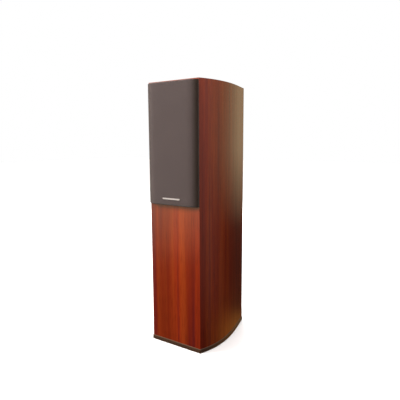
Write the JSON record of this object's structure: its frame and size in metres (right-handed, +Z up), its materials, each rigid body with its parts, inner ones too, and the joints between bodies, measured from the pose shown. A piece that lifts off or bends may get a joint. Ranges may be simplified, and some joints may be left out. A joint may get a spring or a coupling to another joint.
{
  "type": "floorstanding speaker",
  "caption": "compact floorstanding loudspeaker with bowed cherry-veneer sides, a lift-off cloth grille over a dome tweeter and two cone drivers, and a black plinth",
  "frame": {"origin": "centre of the footprint on the floor, under the plinth", "axes": "+Z up, +Y from the front baffle towards the rear panel, +X to the right when seen from the front"},
  "size_m": [0.2356, 0.3122, 0.845],
  "materials": {
    "cherry_veneer": "satin",
    "plinth_black": "satin",
    "fibreboard": "matte",
    "grille_cloth": "matte",
    "frame_plastic": "matte",
    "silver_badge": "satin",
    "chassis_metal": "satin",
    "motor_steel": "satin",
    "ferrite": "matte",
    "cone_paper": "matte",
    "cone_rubber": "matte",
    "dome_silk": "matte",
    "spider_cloth": "matte",
    "voice_coil": "satin",
    "moulded_plastic": "satin",
    "red_plastic": "satin",
    "brass": "polished",
    "copper_wire": "satin",
    "circuit_board": "satin",
    "film_capacitor": "satin",
    "resistor_ceramic": "matte",
    "wadding": "matte",
    "cable_jacket": "matte"
  },
  "bodies": {
    "cabinet": {"plinth": "plinth_black", "bottom_panel": "fibreboard", "brace_lower": "fibreboard", "brace_upper": "fibreboard", "top_panel": "cherry_veneer", "side_panel_right": "cherry_veneer", "side_panel_left": "cherry_veneer", "front_baffle": "cherry_veneer", "rear_panel": "cherry_veneer", "damping_wadding": "wadding", "port_tube": "moulded_plastic", "tweeter_faceplate": "moulded_plastic", "tweeter_rear_chamber": "moulded_plastic", "terminal_cup": "moulded_plastic", "tweeter_top_plate": "motor_steel", "tweeter_yoke": "motor_steel", "tweeter_magnet": "ferrite", "tweeter_surround": "dome_silk", "woofer_upper_chassis": "chassis_metal", "woofer_upper_top_plate": "motor_steel", "woofer_upper_yoke": "motor_steel", "woofer_upper_magnet": "ferrite", "woofer_upper_surround": "cone_rubber", "woofer_upper_spider": "spider_cloth", "woofer_lower_chassis": "chassis_metal", "woofer_lower_top_plate": "motor_steel", "woofer_lower_yoke": "motor_steel", "woofer_lower_magnet": "ferrite", "woofer_lower_surround": "cone_rubber", "woofer_lower_spider": "spider_cloth", "grille_socket_1": "cone_rubber", "grille_socket_2": "cone_rubber", "grille_socket_3": "cone_rubber", "grille_socket_4": "cone_rubber", "post_stem_positive": "brass", "post_stem_negative": "brass", "crossover_board": "circuit_board", "crossover_coil_large": "copper_wire", "crossover_coil_small": "copper_wire", "crossover_capacitor_large": "film_capacitor", "crossover_capacitor_small": "film_capacitor", "crossover_resistor": "resistor_ceramic", "tweeter_cable": "cable_jacket", "woofer_cable_upper": "cable_jacket", "woofer_cable_lower": "cable_jacket"},
    "grille": {"grille_frame": "frame_plastic", "grille_cloth": "grille_cloth", "grille_badge": "silver_badge"},
    "upper_cone": {"woofer_upper_cone": "cone_paper", "woofer_upper_dust_cap": "cone_rubber", "woofer_upper_voice_coil": "voice_coil"},
    "lower_cone": {"woofer_lower_cone": "cone_paper", "woofer_lower_dust_cap": "cone_rubber", "woofer_lower_voice_coil": "voice_coil"},
    "tweeter_dome": {"tweeter_dome": "dome_silk"},
    "washer_positive": {"post_washer_positive": "brass"},
    "washer_negative": {"post_washer_negative": "brass"},
    "cap_positive": {"post_cap_positive": "red_plastic"},
    "cap_negative": {"post_cap_negative": "moulded_plastic"}
  },
  "joints": [
    {"name": "grille_pull_off", "type": "slide", "parent": "cabinet", "child": "grille", "axis": [0, -1, 0], "range_m": [0, 0.06]},
    {"name": "upper_cone_travel", "type": "slide", "parent": "cabinet", "child": "upper_cone", "axis": [0, -1, 0], "range_m": [-0.004, 0.004], "stiffness_N_per_m": 900, "deforming": ["woofer_upper_surround", "woofer_upper_spider"]},
    {"name": "lower_cone_travel", "type": "slide", "parent": "cabinet", "child": "lower_cone", "axis": [0, -1, 0], "range_m": [-0.004, 0.004], "stiffness_N_per_m": 900, "deforming": ["woofer_lower_surround", "woofer_lower_spider"]},
    {"name": "tweeter_dome_travel", "type": "slide", "parent": "cabinet", "child": "tweeter_dome", "axis": [0, -1, 0], "range_m": [-0.0004, 0.0004], "stiffness_N_per_m": 400, "deforming": ["tweeter_surround"]},
    {"name": "washer_positive_slide", "type": "slide", "parent": "cabinet", "child": "washer_positive", "axis": [0, 1, 0], "range_m": [0, 0.004]},
    {"name": "cap_positive_turn", "type": "hinge", "parent": "washer_positive", "child": "cap_positive", "pos_m": [-0.016, 0.135, 0.13], "axis": [0, 1, 0], "range_deg": [0, 1440]},
    {"name": "washer_negative_slide", "type": "slide", "parent": "cabinet", "child": "washer_negative", "axis": [0, 1, 0], "range_m": [0, 0.004]},
    {"name": "cap_negative_turn", "type": "hinge", "parent": "washer_negative", "child": "cap_negative", "pos_m": [0.016, 0.135, 0.13], "axis": [0, 1, 0], "range_deg": [0, 1440]}
  ],
  "couplings": [
    {"joint": "cap_positive_turn", "follows": "washer_positive_slide", "rad_per_m": 6283.2},
    {"joint": "cap_negative_turn", "follows": "washer_negative_slide", "rad_per_m": 6283.2}
  ]
}
